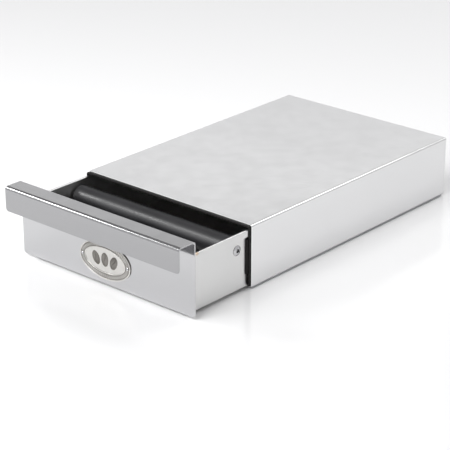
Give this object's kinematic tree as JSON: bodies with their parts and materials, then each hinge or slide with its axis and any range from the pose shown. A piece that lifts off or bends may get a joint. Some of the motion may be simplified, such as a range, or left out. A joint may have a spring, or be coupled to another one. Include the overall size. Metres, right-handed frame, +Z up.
{
  "type": "espresso knock box",
  "caption": "Flat sheet-steel casing with a pull-out drawer that carries a rubber knock bar for spent coffee.",
  "frame": {"origin": "centre of the footprint on the counter, with the drawer 100 mm open", "axes": "+Z up, -Y the way the drawer opens, +X across the casing"},
  "size_m": [0.2664, 0.4993, 0.0922],
  "materials": {
    "casing_steel": "satin",
    "front_steel": "polished, fine grain",
    "tray_steel": "satin",
    "zinc_steel": "zinc plated",
    "bright_screws": "bright",
    "black_plastic": "moulded",
    "white_plastic": "slippery tape",
    "bar_rubber": "smooth, dusty",
    "foot_rubber": "matt",
    "badge_metal": "pewter",
    "weld_steel": "heat tinted"
  },
  "bodies": {
    "casing": {"casing_shell": "casing_steel", "back_panel": "casing_steel", "back_screws": "bright_screws", "back_nuts": "zinc_steel", "base_plate": "zinc_steel", "base_rivets": "zinc_steel", "opening_trim": "black_plastic", "glide_tape_left": "white_plastic", "glide_tape_right": "white_plastic", "closing_buffer_left": "foot_rubber", "closing_buffer_right": "foot_rubber", "foot_front_left": "foot_rubber", "foot_front_right": "foot_rubber", "foot_rear_left": "foot_rubber", "foot_rear_right": "foot_rubber"},
    "drawer": {"drawer_front": "front_steel", "front_studs": "zinc_steel", "front_nuts": "zinc_steel", "tray": "tray_steel", "tray_front_wall": "tray_steel", "tray_back_wall": "tray_steel", "back_wall_rivets": "zinc_steel", "runner_left": "black_plastic", "runner_right": "black_plastic", "runner_rivets_left": "zinc_steel", "runner_rivets_right": "zinc_steel", "tilt_pad_left": "black_plastic", "tilt_pad_right": "black_plastic", "tilt_pad_rivets": "zinc_steel", "bar_core": "zinc_steel", "bar_sleeve": "bar_rubber", "bar_washer_left": "black_plastic", "bar_washer_right": "black_plastic", "bar_screw_left": "bright_screws", "bar_screw_right": "bright_screws", "badge_plate": "badge_metal", "badge_bezel": "badge_metal", "badge_emblem": "badge_metal", "badge_pins": "bright_screws", "corner_welds": "weld_steel"}
  },
  "joints": [
    {"name": "drawer_slide", "type": "slide", "parent": "casing", "child": "drawer", "axis": [0, -1, 0], "range_m": [-0.0948, 0.2]}
  ]
}
